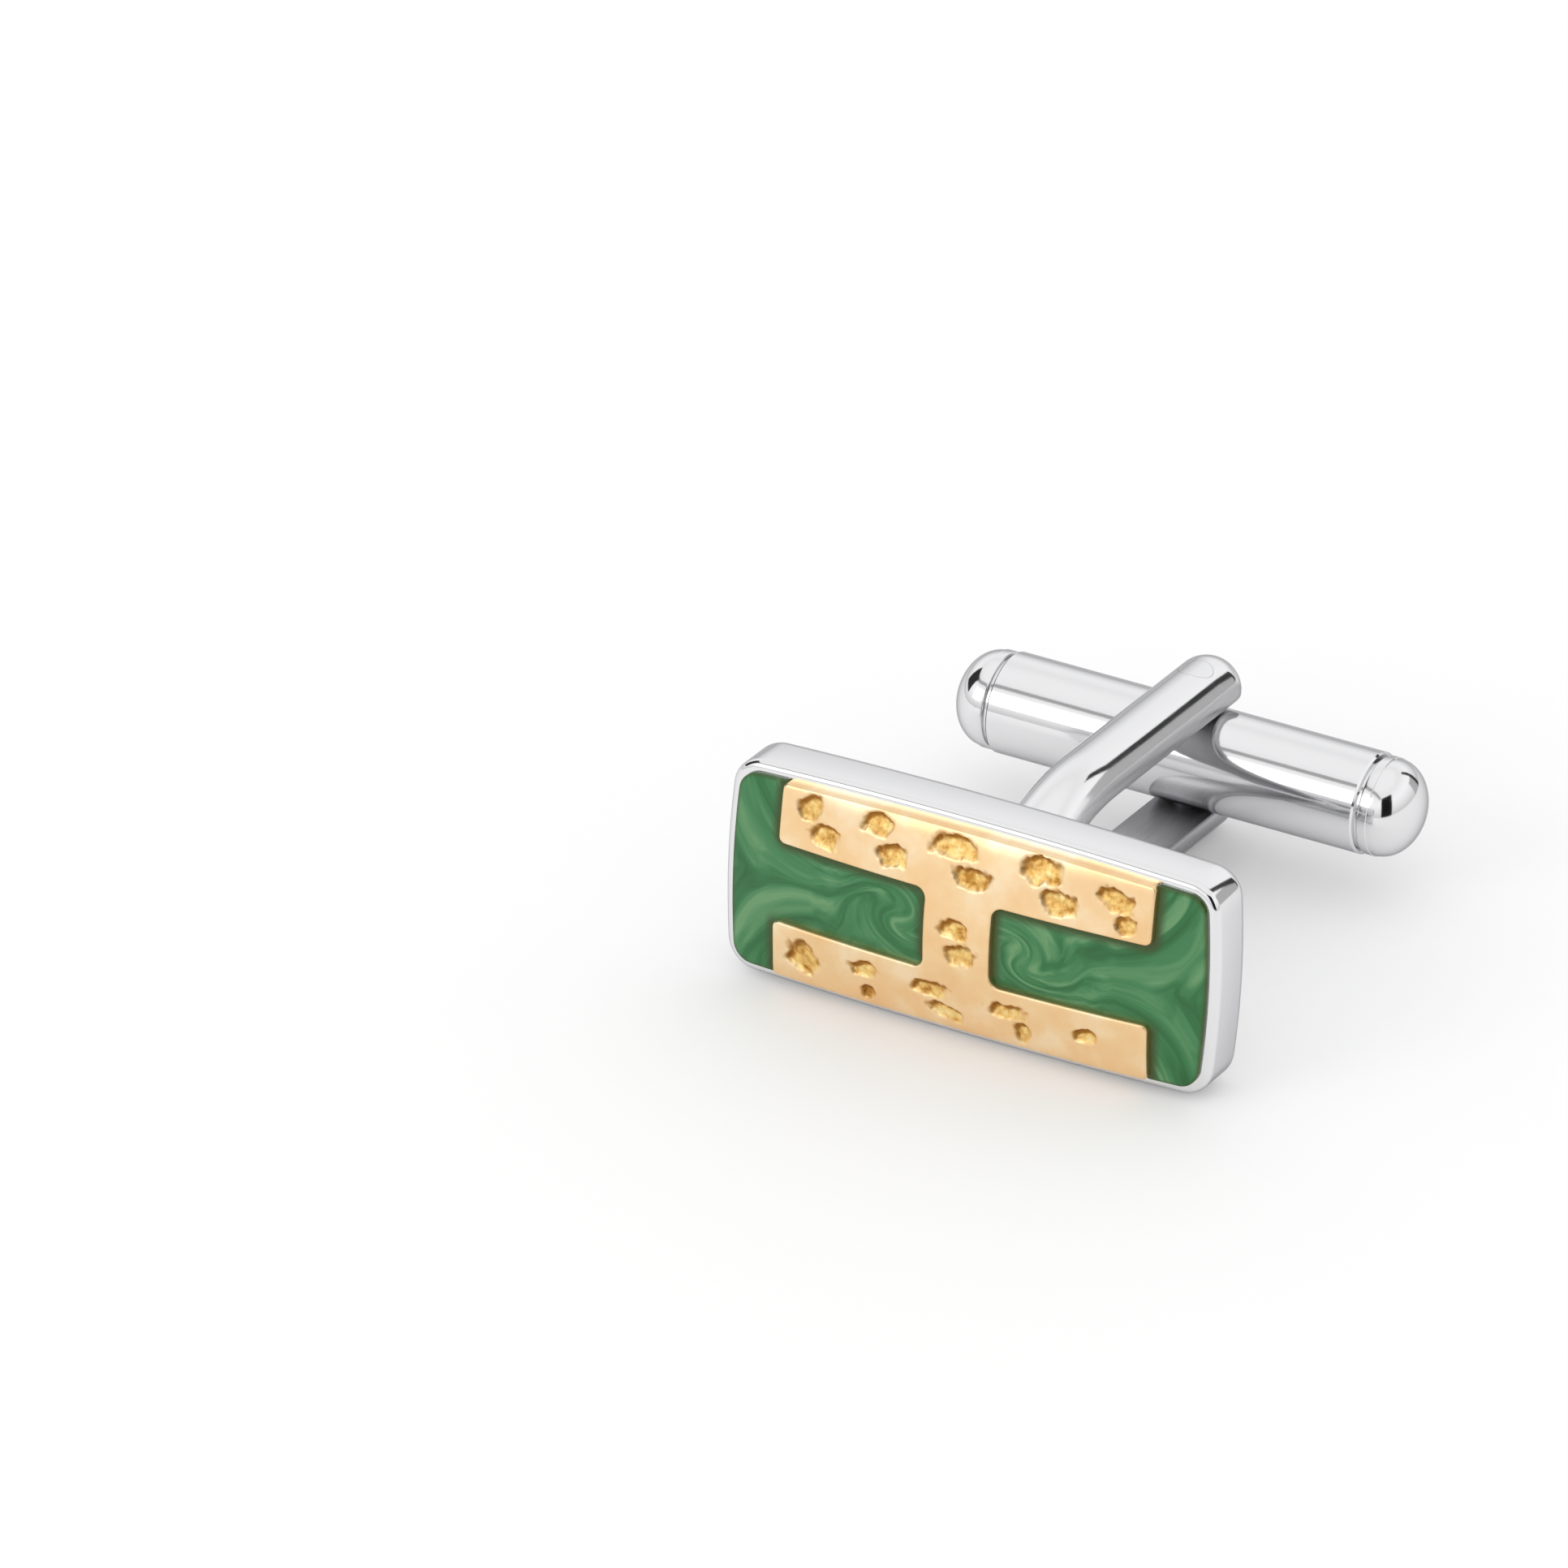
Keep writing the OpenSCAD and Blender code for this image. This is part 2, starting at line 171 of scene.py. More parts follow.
# %% Start a material
def start_material(name, **values):
    material = bpy.data.materials.new(name)
    material.use_nodes = True
    tree = material.node_tree
    shader = tree.nodes["Principled BSDF"]
    for socket, value in values.items():
        shader.inputs[socket.replace("_", " ")].default_value = value
    return material, tree, shader

def node(tree, kind, **values):
    made = tree.nodes.new(kind)
    for key, value in values.items():
        if hasattr(made, key):
            setattr(made, key, value)
        else:
            made.inputs[key.replace("_", " ")].default_value = value
    return made

def ramp(tree, factor, *stops):
    made = tree.nodes.new("ShaderNodeValToRGB")
    elements = made.color_ramp.elements
    while len(elements) < len(stops):
        elements.new(0.5)
    for element, (place, colour) in zip(elements, stops):
        element.position, element.color = place, (*colour, 1)
    tree.links.new(factor, made.inputs["Fac"])
    return made.outputs["Color"]

def spread_over(tree, factor, low, high):
    made = node(tree, "ShaderNodeMapRange")
    made.inputs["To Min"].default_value, made.inputs["To Max"].default_value = low, high
    tree.links.new(factor, made.inputs["Value"])
    return made.outputs["Result"]

def mix_colours(tree, factor, first, second):
    made = node(tree, "ShaderNodeMix", data_type="RGBA")
    tree.links.new(factor, made.inputs["Factor"])
    for socket, value in ((made.inputs[6], first), (made.inputs[7], second)):
        if isinstance(value, bpy.types.NodeSocket):
            tree.links.new(value, socket)
        else:
            socket.default_value = value
    return made.outputs[2]

# %% [markdown]
# Polished white metal: the tray, the post and the toggle are plated and buffed, so they show
# the room around them. A perfect mirror would look like plastic film, so the roughness
# wavers a little where fingers and cloth have touched, and a very fine bump softens the
# reflections the way buffing does.

# %% Polished white metal
def polished(name, colour, smooth, haze):
    material, tree, shader = start_material(name, Base_Color=(*colour, 1), Metallic=1.0,
                                            Specular_Tint=(0.5, 0.5, 0.51, 1))
    place = node(tree, "ShaderNodeTexCoord")
    smudge = node(tree, "ShaderNodeTexNoise", Scale=420.0, Detail=5.0, Roughness=0.6)
    grain = node(tree, "ShaderNodeTexNoise", Scale=9000.0, Detail=3.0)
    tree.links.new(place.outputs["Object"], smudge.inputs["Vector"])
    tree.links.new(place.outputs["Object"], grain.inputs["Vector"])
    rough = spread_over(tree, smudge.outputs["Fac"], smooth, haze)
    tree.links.new(rough, shader.inputs["Roughness"])
    bump = node(tree, "ShaderNodeBump", Strength=0.03, Distance=0.00002)
    tree.links.new(grain.outputs["Fac"], bump.inputs["Height"])
    tree.links.new(bump.outputs["Normal"], shader.inputs["Normal"])
    return material

white_metal = polished("polished_white_metal", (0.79, 0.79, 0.8), 0.05, 0.14)
pin_metal = polished("polished_pin_steel", (0.78, 0.78, 0.79), 0.06, 0.15)
print("materials:", white_metal.name, pin_metal.name)

# %% [markdown]
# Some metal isn't buffed. The pin's shank is made nearly black, as painted shade where it
# lies between the toggle and the arms, and the springs inside the toggle are bare strip steel
# with the lines of the rolls. Both are metal with a noise drawn long one way, which wavers
# the colour and the roughness and lifts a fine bump.

# %% Metal with drawn lines
def drawn_lines(tree, stretch):
    place = node(tree, "ShaderNodeTexCoord")
    along = node(tree, "ShaderNodeMapping")
    along.inputs["Scale"].default_value = stretch
    lines = node(tree, "ShaderNodeTexNoise", Scale=1.0, Detail=3.0)
    tree.links.new(place.outputs["Object"], along.inputs["Vector"])
    tree.links.new(along.outputs["Vector"], lines.inputs["Vector"])
    return lines.outputs["Fac"]

def drawn(name, colour, stretch, smooth, haze, lift):
    material, tree, shader = start_material(name, Metallic=1.0)
    lines = drawn_lines(tree, stretch)
    tint = ramp(tree, lines, (0.3, [0.88 * c for c in colour]), (0.7, colour))
    tree.links.new(tint, shader.inputs["Base Color"])
    tree.links.new(spread_over(tree, lines, smooth, haze), shader.inputs["Roughness"])
    bump = node(tree, "ShaderNodeBump", Strength=lift, Distance=0.00001)
    tree.links.new(lines, bump.inputs["Height"])
    tree.links.new(bump.outputs["Normal"], shader.inputs["Normal"])
    return material

# The shank's near black is painted shade between the toggle and the arms.
shank_painted_shade = drawn("pin_shank_painted_shade", (0.1, 0.1, 0.11), (4000, 4000, 300), 0.35, 0.5, 0.2)
spring_steel = drawn("drawn_spring_steel", (0.5, 0.52, 0.55), (200, 6000, 6000), 0.25, 0.5, 0.2)
print("materials:", shank_painted_shade.name, spring_steel.name)

# %% [markdown]
# The post is polished on its round outside, but its straight sides and flat insides are only
# drawn over emery, because a buff would round them. So they are satin, with long fine
# scratches along the arm, and darker than the polished metal, which is painted shade for the
# grey that these sides reflect. It is one piece of metal, so it is one material: the polished
# one, which a "drawn" value on the mesh's points turns to satin without a hard border.

# %% The post's metal
post_metal = polished("post_white_metal", (0.79, 0.79, 0.8), 0.05, 0.14)
tree = post_metal.node_tree
shader = tree.nodes["Principled BSDF"]
drawn_value = node(tree, "ShaderNodeAttribute", attribute_name="drawn").outputs["Fac"]
lines = drawn_lines(tree, (9000, 260, 9000))
# The satin colour holds the drawn lines and painted shade: it is darker than the polished metal.
satin_lines_and_painted_shade = ramp(tree, lines, (0.3, (0.48, 0.48, 0.49)), (0.7, (0.56, 0.56, 0.57)))
shade = mix_colours(tree, drawn_value, shader.inputs["Base Color"].default_value, satin_lines_and_painted_shade)
tree.links.new(shade, shader.inputs["Base Color"])
rough = node(tree, "ShaderNodeMix")
tree.links.new(drawn_value, rough.inputs["Factor"])
tree.links.new(shader.inputs["Roughness"].links[0].from_socket, rough.inputs[2])
tree.links.new(spread_over(tree, lines, 0.26, 0.44), rough.inputs[3])
tree.links.new(rough.outputs[0], shader.inputs["Roughness"])
scratch_depth = spread_over(tree, drawn_value, 0, 0.35)
bump = node(tree, "ShaderNodeBump", Distance=0.00001)
tree.links.new(scratch_depth, bump.inputs["Strength"])
tree.links.new(lines, bump.inputs["Height"])
tree.links.new(shader.inputs["Normal"].links[0].from_socket, bump.inputs["Normal"])
tree.links.new(bump.outputs["Normal"], shader.inputs["Normal"])
print("post:", len(tree.nodes), "nodes")

# %% [markdown]
# The inlay is peach-gold metal with a satin skin, and its small pits are rough and deeper in
# colour, like amber. Both are one material, because they are one cast piece. A "pit" value
# is kept on the mesh's own points, 0 on the skin and 1 on a pit's floor, and it mixes the
# two colours and the two roughnesses where the surface really sinks. A second value adds
# painted shade: dark brown under each pit's upper left edge.

# %% Satin gold with amber pits
gold, tree, shader = start_material("satin_gold_inlay", Metallic=1.0)
place = node(tree, "ShaderNodeTexCoord")
pit = node(tree, "ShaderNodeAttribute", attribute_name="pit")
cloud = node(tree, "ShaderNodeTexNoise", Scale=500.0, Detail=4.0, Roughness=0.55)
crumb = node(tree, "ShaderNodeTexNoise", Scale=2300.0, Detail=3.0, Roughness=0.6)
satin = node(tree, "ShaderNodeTexNoise", Scale=14000.0, Detail=2.0)
for pattern in (cloud, crumb, satin):
    tree.links.new(place.outputs["Object"], pattern.inputs["Vector"])
skin = ramp(tree, cloud.outputs["Fac"], (0.34, (0.9, 0.6, 0.31)), (0.5, (0.93, 0.66, 0.37)),
            (0.64, (0.96, 0.76, 0.5)))
amber = ramp(tree, crumb.outputs["Fac"], (0.34, (0.5, 0.24, 0.045)), (0.45, (0.76, 0.46, 0.14)),
             (0.57, (0.91, 0.64, 0.24)), (0.7, (0.98, 0.8, 0.4)))
tint = mix_colours(tree, pit.outputs["Fac"], skin, amber)
# Painted shade: this value darkens each pit's upper left inner edge to brown.
pit_shade_node = node(tree, "ShaderNodeAttribute", attribute_name="pit_shade")
pit_shaded = mix_colours(tree, pit_shade_node.outputs["Fac"], tint, (0.36, 0.16, 0.03, 1))
tree.links.new(pit_shaded, shader.inputs["Base Color"])
tree.links.new(spread_over(tree, pit.outputs["Fac"], 0.36, 0.5), shader.inputs["Roughness"])
fine = node(tree, "ShaderNodeBump", Strength=0.12, Distance=0.00002)
tree.links.new(satin.outputs["Fac"], fine.inputs["Height"])
coarse = node(tree, "ShaderNodeBump", Distance=0.00005)
tree.links.new(crumb.outputs["Fac"], coarse.inputs["Height"])
tree.links.new(pit.outputs["Fac"], coarse.inputs["Strength"])
tree.links.new(fine.outputs["Normal"], coarse.inputs["Normal"])
tree.links.new(coarse.outputs["Normal"], shader.inputs["Normal"])
print("gold:", len(tree.nodes), "nodes")

# %% [markdown]
# The enamel is a glossy green paste with lighter and darker streaks stirred into it. Two
# values on the mesh's points, "along" and "across", say how the paste flowed, and the noise
# is drawn long on the first and short on the second. A slower noise bends them first, so no
# streak runs straight. An "edge" value, 1 against the metal, darkens the paste to olive.

# %% Marbled green enamel
enamel, tree, shader = start_material("marbled_green_enamel", Roughness=0.14,
                                      Specular_IOR_Level=0.42,
                                      Coat_Weight=0.12, Coat_Roughness=0.03)
along = node(tree, "ShaderNodeAttribute", attribute_name="along")
across = node(tree, "ShaderNodeAttribute", attribute_name="across")
flowed = node(tree, "ShaderNodeCombineXYZ")
tree.links.new(along.outputs["Fac"], flowed.inputs["X"])
tree.links.new(across.outputs["Fac"], flowed.inputs["Y"])
stir = node(tree, "ShaderNodeTexNoise", Scale=0.55, Detail=2.0)
away = node(tree, "ShaderNodeVectorMath", operation="SUBTRACT")
away.inputs[1].default_value = (0.5, 0.5, 0.5)
bend = node(tree, "ShaderNodeVectorMath", operation="SCALE")
bend.inputs["Scale"].default_value = 1.5
moved = node(tree, "ShaderNodeVectorMath", operation="ADD")
draw_out = node(tree, "ShaderNodeMapping")
draw_out.inputs["Scale"].default_value = (0.3, 1.75, 1)
streak = node(tree, "ShaderNodeTexNoise", Scale=1.0, Detail=3.5, Roughness=0.55, Distortion=0.35)
tree.links.new(flowed.outputs[0], stir.inputs["Vector"])
tree.links.new(stir.outputs["Color"], away.inputs[0])
tree.links.new(away.outputs[0], bend.inputs[0])
tree.links.new(flowed.outputs[0], moved.inputs[0])
tree.links.new(bend.outputs[0], moved.inputs[1])
tree.links.new(moved.outputs[0], draw_out.inputs["Vector"])
tree.links.new(draw_out.outputs["Vector"], streak.inputs["Vector"])
green = ramp(tree, streak.outputs["Fac"], (0.3, (0.008, 0.105, 0.02)), (0.44, (0.02, 0.155, 0.04)),
             (0.54, (0.045, 0.205, 0.07)), (0.66, (0.125, 0.3, 0.125)))
# The "edge" value is painted shade: it darkens the green to olive along the gold and the rim.
border = node(tree, "ShaderNodeAttribute", attribute_name="edge")
olive = mix_colours(tree, border.outputs["Fac"], green, (0.034, 0.066, 0.004, 1))
tree.links.new(olive, shader.inputs["Base Color"])
ripple = node(tree, "ShaderNodeBump", Strength=0.08, Distance=0.00006)
tree.links.new(streak.outputs["Fac"], ripple.inputs["Height"])
tree.links.new(ripple.outputs["Normal"], shader.inputs["Normal"])
print("enamel:", len(tree.nodes), "nodes")

# %% [markdown]
# The head's outline is four shallow arcs joined by four corner arcs. A jeweller would file
# it to a template; here a single point is spun round three centres in turn, which draws a
# quarter of it, and two mirrors draw the rest.

# %% Centres of the outline's arcs
end_r = (head_h / 2) ** 2 / (2 * end_bow) + end_bow / 2
long_r = (head_l / 2) ** 2 / (2 * long_bow) + long_bow / 2
end_centre, long_centre = Vector((head_l / 2 - end_r, 0)), Vector((0, head_h / 2 - long_r))
gap = long_centre - end_centre
reach_a, reach_b = end_r - corner_r, long_r - corner_r
along = (gap.length ** 2 + reach_a ** 2 - reach_b ** 2) / (2 * gap.length)
aside = math.sqrt(reach_a ** 2 - along ** 2)
unit = gap.normalized()
corner_centre = end_centre + unit * along + Vector((-unit.y, unit.x)) * aside
end_angle = math.atan2(*(corner_centre - end_centre).yx)
long_angle = math.atan2(*(corner_centre - long_centre).yx)
print("corner centre, mm:", [round(c, 3) for c in corner_centre])

# %% Draw the outline at a given depth
def outline_loop(bm, y):
    geometry = [bm.verts.new((end_centre.x + end_r, y, 0))]
    for centre, angle, steps in ((end_centre, end_angle, 10),
                                 (corner_centre, long_angle - end_angle, 12),
                                 (long_centre, math.pi / 2 - long_angle, 18)):
        swept = bmesh.ops.spin(bm, geom=geometry, cent=(centre.x, y, centre.y), axis=(0, -1, 0),
                               angle=angle, steps=steps, use_merge=False)
        geometry = verts_of(swept["geom_last"])
    for axis in "XZ":
        bmesh.ops.mirror(bm, geom=bm.verts[:] + bm.edges[:], axis=axis, merge_dist=1e-4)
    bmesh.ops.remove_doubles(bm, verts=bm.verts, dist=1e-4)
    return bm.edges[:]

# %% [markdown]
# The tray is cast in one piece and polished: a thin rim with a soft lip, bowed sides, a
# well-rounded back edge, and a recess for the inlay. The outline becomes a face, the face is
# extruded to a block, two bevels round its edges, and an inset and an extrusion sink the
# recess. The inset is narrower than the rim by the lip, which the bevel has already taken, and
# a tiny chamfer breaks the rim's inner edge.

# %% The tray
def edges_at(bm, y):
    return [e for e in bm.edges if all(abs(v.co.y - y) < 1e-4 for v in e.verts)]

chamfer = 0.02
bm = bmesh.new()
rim_loop = outline_loop(bm, -tray_t)
front = bmesh.ops.contextual_create(bm, geom=rim_loop)["faces"]
block = bmesh.ops.extrude_face_region(bm, geom=front, use_keep_orig=True)["geom"]
bmesh.ops.translate(bm, verts=verts_of(block), vec=(0, tray_t, 0))
bmesh.ops.recalc_face_normals(bm, faces=bm.faces)
for y, radius, segments in ((0, back_r, 10), (-tray_t, lip_r, 8)):
    bmesh.ops.bevel(bm, geom=edges_at(bm, y), offset=radius, affect="EDGES", segments=segments,
                    profile=0.5, material=-1)
front = [max((f for f in bm.faces if f.normal.y < -0.99), key=lambda f: f.calc_area())]
bmesh.ops.inset_region(bm, faces=front, thickness=rim_w - lip_r, use_even_offset=True)
bmesh.ops.inset_region(bm, faces=front, thickness=chamfer, depth=-chamfer, use_even_offset=True)
floor_part = bmesh.ops.extrude_face_region(bm, geom=front)["geom"]
bmesh.ops.delete(bm, geom=[f for f in front if f.is_valid], context="FACES")
bmesh.ops.translate(bm, verts=verts_of(floor_part), vec=(0, recess_t - chamfer, 0))
finish_piece(bm, "tray_polished", "head", ["bezel_tray"], white_metal, sharp=40)

# %% [markdown]
# The inlay and the enamel are both thin sheets with a curved outline and a swelling face.
# To cut them, each outline is written as a distance: negative inside, zero on the line. The
# same few lines then serve for trimming the sheet, for rounding its edge, and for knowing
# how far a point is from the gold. As in the photograph, the lower bar reaches a little
# further left than the upper one.

# %% Distances from the outlines
lower_left_extra, enamel_tuck = 0.13, 0.1

def from_box(u, v):
    return math.hypot(max(u, 0), max(v, 0)) + min(max(u, v), 0)

def from_recess(x, z):
    x, z = abs(x), abs(z)
    turn = math.atan2(z - corner_centre.y, x - corner_centre.x)
    if x > corner_centre.x and z > corner_centre.y and end_angle <= turn <= long_angle:
        return math.hypot(x - corner_centre.x, z - corner_centre.y) - corner_r + rim_w
    side = math.hypot(x - end_centre.x, z - end_centre.y) - end_r
    top = math.hypot(x - long_centre.x, z - long_centre.y) - long_r
    return max(side, top) + rim_w

def from_bars(x, z):
    bar_end = bar_l / 2 + (lower_left_extra if x < 0 and z < 0 else 0)
    x, z = abs(x), abs(z)
    stem = from_box(web_w / 2 + stem_corner_r - x, z - stem_h / 2 + stem_corner_r) - stem_corner_r
    return from_box(bar_corner_r - stem, bar_corner_r + x - bar_end) - bar_corner_r

def from_gold(x, z, corner=0.12):
    return from_box(from_recess(x, z) + corner, from_bars(x, z) + corner) - corner

def from_enamel(x, z):
    return max(from_recess(x, z), -from_bars(x, z) - enamel_tuck)

# %% [markdown]
# The sheet starts as a fine grid. Points within half a cell of the outline are pulled onto
# it, square cells that the line crosses are split along it, and what lies outside goes. The
# edge is then extruded outwards and down in a few short steps, which gives the soft corner
# that casting and polishing leave, and once more for the wall. The wall's foot is put on the
# floor of the recess when the sheet is raised.

# %% Cut a sheet to its outline
def cut_sheet(distance, cell, edge_r, arc_steps, *value_names):
    bm = bmesh.new()
    for value_name in value_names:
        bm.verts.layers.float.new(value_name)
    wide, tall = round(head_l / cell), round(head_h / cell)
    upright = Matrix.Rotation(math.pi / 2, 4, "X") @ Matrix.Diagonal((head_l, head_h, 1, 1))
    bmesh.ops.create_grid(bm, x_segments=wide, y_segments=tall, size=0.5, matrix=upright)
    def inset_distance(x, z):
        return distance(x, z) + edge_r
    def outward(x, z, step=1e-4):
        away = Vector((inset_distance(x + step, z) - inset_distance(x - step, z), 0,
                       inset_distance(x, z + step) - inset_distance(x, z - step)))
        return away.normalized()
    measured = {v: inset_distance(v.co.x, v.co.z) for v in bm.verts}
    on_line = set()
    for v, d in measured.items():
        if abs(d) <= 0.5 * cell:
            v.co -= outward(v.co.x, v.co.z) * d
            on_line.add(v)
    def crosses(f):
        signs = {0 if v in on_line else math.copysign(1, measured[v]) for v in f.verts}
        return {1, -1} <= signs
    # A plain set of points has another order in each run. The keys of a dict keep theirs.
    crossed = dict.fromkeys(f for f in bm.faces if crosses(f))
    ends = dict.fromkeys(v for f in crossed for v in f.verts if v in on_line)
    bmesh.ops.connect_verts(bm, verts=list(ends),
                            faces_exclude=[f for f in bm.faces if f not in crossed])
    def outside(f):
        middle = f.calc_center_median()
        return (any(v not in on_line and measured[v] > 0 for v in f.verts)
                or inset_distance(middle.x, middle.z) > 0)
    bmesh.ops.delete(bm, geom=[f for f in bm.faces if outside(f)], context="FACES")
    bmesh.ops.delete(bm, geom=[v for v in bm.verts if not v.link_faces], context="VERTS")
    top = bm.verts[:]
    rim = [e for e in bm.edges if e.is_boundary]
    start = {v: (v.co.copy(), outward(v.co.x, v.co.z)) for e in rim for v in e.verts}
    for step in range(1, arc_steps + 2):
        before = {tuple(round(c, 6) for c in v.co): start[v] for e in rim for v in e.verts}
        rim = edges_of(bmesh.ops.extrude_edge_only(bm, edges=rim)["geom"])
        start = {v: before[tuple(round(c, 6) for c in v.co)] for e in rim for v in e.verts}
        angle = math.pi / 2 * min(step, arc_steps) / arc_steps
        drop = edge_r * (1 - math.cos(angle))
        for v, (place, away) in start.items():
            v.co = place + away * edge_r * math.sin(angle) + Vector((0, drop, 0))
    return bm, [bm.verts.layers.float[value_name] for value_name in value_names], top, rim

# %% [markdown]
# The face swells like a pillow: highest in the middle and level with its edge all round.
# The CAD solid has the same rise in coarse steps, and here it is smooth.

# %% The swelling face
def swell(x, z):
    a, b = head_l / 2 - rim_w, head_h / 2 - rim_w
    return inlay_crown * (1 - (x / a) ** 2) * (1 - (z / b) ** 2)

def raise_sheet(bm, level, sink, floor_rim):
    floor_verts = {v for e in floor_rim for v in e.verts}
    for v in bm.verts:
        if v in floor_verts:
            v.co.y = -tray_t + recess_t
        else:
            v.co.y += -(tray_t + level + swell(v.co.x, v.co.z)) + sink(v.co.x, v.co.z)

# %% [markdown]
# The pits were pressed or cast into the gold in pairs, one above the other and a little to
# the side. Each is listed as its middle, its half width and half height and its tilt, on the
# face. Their outlines are torn, so noise pushes each edge in and out, and a second noise
# roughens the floor. Each is deepest under its upper left edge and runs out to the lower
# right. Under that deep edge the gold is painted dark, as shade that falls there from the
# upper left.

# %% Where the pits are: x, z, half width, half height, tilt in degrees
pits = [(-6.35, 3.25, 0.52, 0.46, 20), (-5.65, 2.35, 0.66, 0.4, -12),
        (-3.6, 3.35, 0.62, 0.4, -6), (-2.8, 2.4, 0.62, 0.42, 0),
        (-0.45, 3.32, 0.92, 0.42, 0), (0.45, 2.4, 0.76, 0.42, 4),
        (3.1, 3.32, 0.78, 0.48, 0), (3.9, 2.35, 0.74, 0.42, -8),
        (6.1, 2.98, 0.72, 0.42, -20), (6.55, 2.15, 0.42, 0.32, 10),
        (-0.1, 0.3, 0.62, 0.38, -8), (0.25, -0.6, 0.62, 0.44, 12),
        (-6.4, -2.7, 0.66, 0.62, 70), (-3.8, -2.4, 0.62, 0.32, 4), (-3.7, -3.35, 0.36, 0.26, 30),
        (-1.05, -2.4, 0.76, 0.34, 4), (-0.45, -3.25, 0.72, 0.34, -8),
        (2.05, -2.45, 0.76, 0.32, 2), (2.6, -3.2, 0.34, 0.44, 10), (5.1, -2.65, 0.52, 0.3, 6)]

# %% How far a point is inside a pit, and how deep it is there, both from 0 to 1
reach_x, reach_z = 1.4, 1.1
squareness, outer, bank = 2.4, 1.16, 0.42
large_tears, small_tears = 0.34, 0.16
middle_depth, run_out, shallowest = 0.8, 0.27, 0.25

def pit_at(x, z):
    covered, deepest = 0.0, 0.0
    for px, pz, half_w, half_h, tilt in pits:
        if abs(x - px) < reach_x and abs(z - pz) < reach_z:
            c, s = math.cos(math.radians(tilt)), math.sin(math.radians(tilt))
            u, v = (x - px) * c + (z - pz) * s, (z - pz) * c - (x - px) * s
            torn = (large_tears * noise.noise((x * 2.3, z * 2.3, px))
                    + small_tears * noise.noise((x * 6, z * 6, pz)))
            out = abs(u / half_w) ** squareness + abs(v / half_h) ** squareness
            t = min(max((outer - out ** (1 / squareness) + torn) / bank, 0), 1)
            t = t * t * (3 - 2 * t)
            fade = min(max(middle_depth - run_out * (u / half_w - v / half_h), shallowest), 1)
            covered, deepest = max(covered, t), max(deepest, t * fade)
    return covered, deepest

# %% [markdown]
# The gold has no other ornament. Filing and buffing left it faintly wavy, and rolled it off
# a little towards the rim.

# %% The gold inlay
gold_cell, gold_edge_r, gold_edge_steps = 0.055, 0.1, 4
pit_depth, crumb_h, wave_h = 0.15, 0.05, 0.006
roll_drop, roll_w = 0.05, 0.5
to_upper_left, pit_shade_strength = (-0.13, 0.14), 1.3

def gold_sink(x, z):
    crumbs = noise.noise((x * 5, z * 5, 3)) + 0.6 * noise.noise((x * 11, z * 11, 7))
    wave = wave_h * noise.noise((x * 0.9, z * 0.9, 1))
    roll_off = roll_drop * max(1 + from_recess(x, z) / roll_w, 0) ** 2
    return pit_at(x, z)[1] * (pit_depth + crumb_h * crumbs) + wave + roll_off

bm, (pit_value, pit_shade_value), top, floor_rim = cut_sheet(
    from_gold, gold_cell, gold_edge_r, gold_edge_steps, "pit", "pit_shade")
# Painted shade: highest where a point lies in a pit and the point up and to the left of it does
# not.
for v in top:
    here = pit_at(v.co.x, v.co.z)[0]
    beside = pit_at(v.co.x + to_upper_left[0], v.co.z + to_upper_left[1])[0]
    v[pit_value] = here
    v[pit_shade_value] = min(max(here - beside, 0) * pit_shade_strength, 1)
raise_sheet(bm, gold_level, gold_sink, floor_rim)
bmesh.ops.contextual_create(bm, geom=floor_rim)
finish_piece(bm, "inlay_satin_gold", "head", ["gold_inlay"], gold, sharp=60)

# %% [markdown]
# The enamel fills what the gold leaves: a crossbar at each end of the head and a stem that
# reaches in to the web. It was filled nearly to the gold, fired and ground, so it lies a
# little lower, follows the same swell, and turns down slightly at its border. It runs a tenth
# of a millimetre under the gold's rounded edge, so no dark gap opens at the corners.
#
# Along the gold and the rim the paste is darkened to olive, as painted shade. The line is
# widest beside and under the bars, and faint above the lower bar, where the gold's edge
# throws light into it.

# %% The enamel's level, and its painted shade by the gold and the rim
border_drop, border_w = 0.03, 0.14
by_gold_reach, by_gold_soft, by_rim_reach = 0.46, 0.3, 0.13
less_above, rim_share = 0.85, 0.85

def enamel_sink(x, z):
    wave = wave_h * noise.noise((x * 1.3, z * 1.3, 11))
    return border_drop * math.exp(-((from_enamel(x, z) / border_w) ** 2)) + wave

def painted_border_shade(x, z, step=1e-3):
    rise = (from_bars(x, z + step) - from_bars(x, z - step)) / (2 * step)
    near_gold = min(max((by_gold_reach - from_bars(x, z)) / by_gold_soft, 0), 1)
    near_rim = max(1 - abs(from_recess(x, z)) / by_rim_reach, 0)
    return max(near_gold * (1 - less_above * max(rise, 0)), rim_share * near_rim)

# %% [markdown]
# The streaks show how the paste was stirred: they run along the stem, spread up and down
# the crossbar and curl into an eddy at the stem's end. So each point gets two values, how far
# it is along the flow and how far across it, and the material draws its streaks on those. The
# two sides are set far apart along the flow, so their streaks differ.

# %% How the paste flowed
eddy_x, eddy_z, eddy_w, eddy_h, eddy_turn = 1.15, 0.15, 1.5, 1.05, 2.5
spread_from, spread_run, sides_apart = 3.7, 3.8, 20

def flow(x, z):
    side = math.copysign(1, x)
    u, v = abs(x) - web_w / 2 - eddy_x, z + eddy_z * side
    turn = eddy_turn * math.exp(-(math.hypot(u / eddy_w, v / eddy_h)) ** 2) * side
    u, v = u * math.cos(turn) - v * math.sin(turn), u * math.sin(turn) + v * math.cos(turn)
    spread = min(max(u - spread_from, 0) / spread_run, 1)
    return u * (1 - spread) + abs(v) * spread + sides_apart * side, v * (1 - spread)

# %% The two panels
enamel_cell, enamel_edge_r, enamel_edge_steps = 0.08, 0.02, 3

